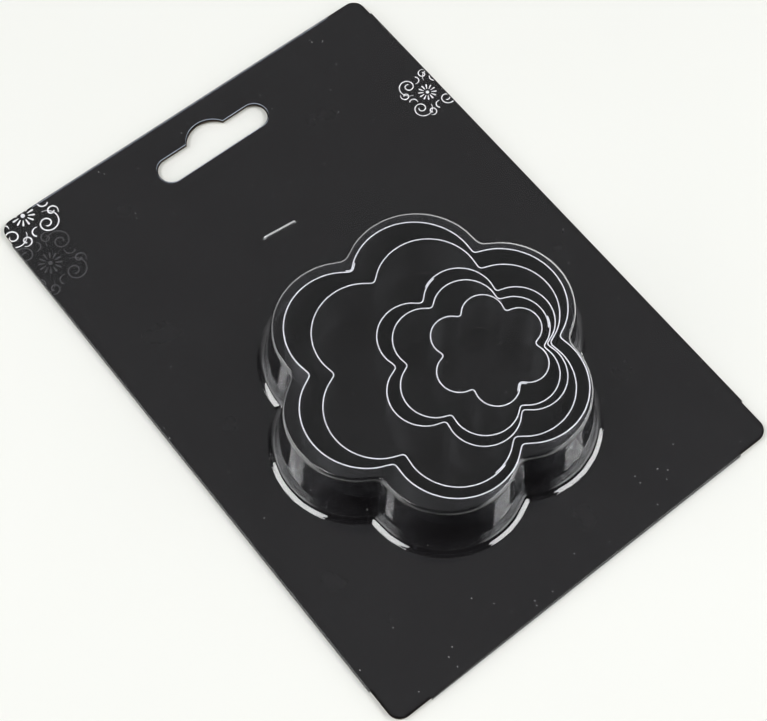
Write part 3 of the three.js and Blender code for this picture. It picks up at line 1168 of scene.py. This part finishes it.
tree.links.new(shader.outputs["BSDF"], choose.inputs[1])
tree.links.new(see_through.outputs["BSDF"], choose.inputs[2])
tree.links.new(choose.outputs["Shader"], output.inputs["Surface"])
film.data.materials.append(clear_film)
print("film:", clear_film.name)

# %% [markdown]
# Where the punch has cut the film, the edge is rough and catches the light as a thin pale blue line. Clear
# film alone wouldn't show it, so the faces round the slot get an opaque finish: a painted highlight in pale
# blue on the rough cut.

# %% Cut edge of the film
# painted highlight: the colour given to the film's cut edge round the slot
PAINTED_GLINT_BLUE = (0.70, 0.77, 0.90, 1)
UPRIGHT = 0.3

painted_cut_glint, tree, shader, place = new_finish("painted_cut_glint", Base_Color=PAINTED_GLINT_BLUE)
roughen(tree, shader, place, Scale=800, Low=0.45, High=0.65)
film.data.materials.append(painted_cut_glint)
for face in film.data.polygons:
    by_slot = abs(face.center.x) < slot_high.x + MM and abs(face.center.y - slot_y) < 2 * SLOT_RISE
    face.material_index = int(by_slot and abs(face.normal.z) < UPRIGHT)
print("cut edge:", sum(face.material_index for face in film.data.polygons), "faces")

# %% [markdown]
# ## The steel
#
# The strip is rolled, so its faces are bright, with fine lines that run along it. The lines spread
# reflections up and down the wall. Bump alone could do that, with very many lines, but Anisotropic does it
# without noise. The bump only adds the few lines that an eye can see.

# %% Rolled steel
STEEL_DARK = (0.50, 0.50, 0.51)
STEEL_BRIGHT = (0.66, 0.66, 0.67)
LINES = (1, 1, 60)
LINE_BUMP = 0.004 * MM

rolled_steel, tree, shader, place = new_finish(
    "rolled_steel", Metallic=1, Anisotropic=0.9, Anisotropic_Rotation=0.25,
)
lines = mottle(tree, shader, stretched(tree, place, LINES), 120, STEEL_DARK, STEEL_BRIGHT)
roughen(tree, shader, place, Scale=90, Low=0.10, High=0.17)
raise_by(tree, lines, shader, Strength=0.15, Distance=LINE_BUMP)
print("walls:", rolled_steel.name)

# %% [markdown]
# The rims are cut edges, paler and rougher than the walls. They are the white lines of the photograph, so
# they have a finish of their own, on the faces at the very top and bottom of each strip.

# %% Cut rims
RIM_DARK = (0.72, 0.72, 0.73)
RIM_PALE = (0.86, 0.86, 0.87)

cut_rim, tree, shader, place = new_finish("cut_rim", Metallic=1)
mottle(tree, shader, place, 1800, RIM_DARK, RIM_PALE)
roughen(tree, shader, place, Scale=900, Low=0.62, High=0.82)
for strip in steel_pieces:
    strip.data.materials.append(rolled_steel)
    strip.data.materials.append(cut_rim)
    low, high = strip.bound_box[0][2], strip.bound_box[6][2]
    for face in strip.data.polygons:
        face.material_index = int(not low + RIM_ROUND < face.center.z < high - RIM_ROUND)
print("steel on", len(steel_pieces), "cutters")

# %% [markdown]
# The staple is drawn wire with a thin bright plating, worn and rougher than the strip. It is so small that
# two wandering values are enough.

# %% Plated wire
WIRE_DARK = (0.76, 0.76, 0.77)
WIRE_PALE = (0.90, 0.90, 0.91)

plated_wire, tree, shader, place = new_finish("plated_wire", Metallic=1)
mottle(tree, shader, place, 1500, WIRE_DARK, WIRE_PALE)
roughen(tree, shader, place, Scale=2500, Low=0.45, High=0.60)
staple.data.materials.append(plated_wire)
print("wire:", plated_wire.name)

# %% [markdown]
# ## The table
#
# The pack lies on a white table, which also lights it from below. A plane is enough for it. It lies a hair
# under the film's lips, so that the two don't share one plane.

# %% Lay the table
TABLE = 4
TABLE_DROP = 0.02 * MM
TABLE_DARK = (0.900, 0.907, 0.868)
TABLE_PALE = (0.925, 0.932, 0.893)

only(camera)
bpy.ops.mesh.primitive_plane_add(size=TABLE, location=(0, 0, -TABLE_DROP))
table = bpy.context.object
table.name = "table"
bpy.ops.object.transform_apply(location=True)
table_top, tree, shader, place = new_finish("table_top", Specular_IOR_Level=0.2)
mottle(tree, shader, place, 6, TABLE_DARK, TABLE_PALE)
roughen(tree, shader, place, Scale=60, Low=0.6, High=0.75)
table.data.materials.append(table_top)
table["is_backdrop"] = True
print("table", TABLE, "m wide")

# %% [markdown]
# ## The room
#
# The card and the film are glossy, so what they look like is mostly what they reflect. The world is a
# plain room that is painted with a few nodes; a picture of a studio would do the same, but with less
# control. The tone of the card is the tone of a soft round patch on the far side, opposite the camera. The
# walls to the left and the right are pale, and behind the camera it is dark.

# %% Paint the room
WALL_HEIGHTS = ((0.0, 2.1), (0.50, 2.1), (0.66, 0.0))
WALL_SIDES = ((0.25, 0.25), (0.45, 1.0), (0.80, 1.0), (0.90, 0.03))
FAR_SIDE = (50.6, 65)
FAR_INNER = radians(18)
FAR_OUTER = radians(38)
FAR_LEVEL = 0.175

world = bpy.data.worlds.new("surroundings")
bpy.context.scene.world = world
world.use_nodes = True
tree = world.node_tree
back = tree.nodes["Background"]
ways = tree.nodes.new("ShaderNodeTexCoord").outputs["Generated"]


def direction(around, up):
    """A direction by its degrees round from +X and up from the table."""
    around, up = radians(around), radians(up)
    return Vector((cos(around) * cos(up), sin(around) * cos(up), sin(up)))


def vector_maths(operation, link, other=(0, 0, 0)):
    """A vector node of the world, with its first input linked and its second one plain."""
    node = put(tree, "ShaderNodeVectorMath", link)
    node.operation = operation
    node.inputs[1].default_value = other
    return node.outputs["Value" if operation == "DOT_PRODUCT" else "Vector"]


level_ways = vector_maths("NORMALIZE", vector_maths("MULTIPLY", ways, (1, 1, 0)))
facing = vector_maths("DOT_PRODUCT", level_ways, (*towards.to_2d().normalized(), 0))
side = put(tree, "ShaderNodeMapRange", facing, From_Min=-1)
height = put(tree, "ShaderNodeSeparateXYZ", ways)
walls = maths(
    tree, "MULTIPLY", ramp(tree, height.outputs["Z"], WALL_HEIGHTS),
    ramp(tree, side.outputs["Result"], WALL_SIDES),
)
patch = put(
    tree, "ShaderNodeMapRange", vector_maths("DOT_PRODUCT", ways, direction(*FAR_SIDE)),
    From_Min=cos(FAR_OUTER), From_Max=cos(FAR_INNER), To_Max=FAR_LEVEL,
)
patch.interpolation_type = "SMOOTHSTEP"
room = maths(tree, "ADD", walls, patch.outputs["Result"])
print("room painted with", len(tree.nodes), "nodes")

# %% [markdown]
# What the camera sees directly or through the film is white instead. Such a ray has not bounced off
# anything yet, and a Light Path node knows that.

# %% Light the scene with the room
FIRST_BOUNCE = 0.5

light_path = tree.nodes.new("ShaderNodeLightPath")
bounces = maths(tree, "ADD", light_path.outputs["Diffuse Depth"], light_path.outputs["Glossy Depth"])
seen = maths(tree, "LESS_THAN", bounces, FIRST_BOUNCE)
tree.links.new(maths(tree, "MAXIMUM", room, seen), back.inputs["Strength"])
back.inputs["Color"].default_value = (1, 1, 1, 1)
bpy.context.scene.view_settings.view_transform = "Standard"
print("world:", world.name)

# %% [markdown]
# ## The lamps
#
# Two long lamps, to the left and the right of the camera, light the table, and they draw the white lines
# along the foot of the dome. They could be patches of the room too, but lamps are sampled better, so the
# shadows stay clean. Each one lies along the arc of directions that the dome's foot mirrors to the camera.
# Its ends are round, so the white lines taper. Rays that have passed the film don't see the lamps, because
# the film lets their light through as shadow rays already.

# %% Set the lamps
# Each lamp's direction in degrees, its turn about that direction, and its length and width in metres.
LAMPS = {
    "left_lamp": (155, 57.8, 31, 0.70, 0.180),
    "right_lamp": (320, 51.3, -34, 0.68, 0.180),
}
LAMP_DISTANCE = 0.9
LAMP_LEVEL = 11.6

for name, (around, up, roll, wide, tall) in LAMPS.items():
    way = direction(around, up)
    only(camera)
    bpy.ops.object.light_add(type="AREA", location=LAMP_DISTANCE * way)
    lamp = bpy.context.object
    lamp.name = name
    turn = way.to_track_quat("Z", "Y").to_matrix()
    lamp.rotation_euler = (turn @ Matrix.Rotation(radians(roll), 3, "Z")).to_euler()
    lamp.data.shape = "ELLIPSE"
    lamp.data.size = wide
    lamp.data.size_y = tall
    lamp.data.energy = LAMP_LEVEL * pi * (pi / 4 * wide * tall)
    lamp.visible_transmission = False
    print(name, round(lamp.data.energy, 2), "W")

# %% Print the size of the new model
only(camera)
new_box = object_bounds()
print("visual box in mm:", [mm(corner) for corner in new_box])
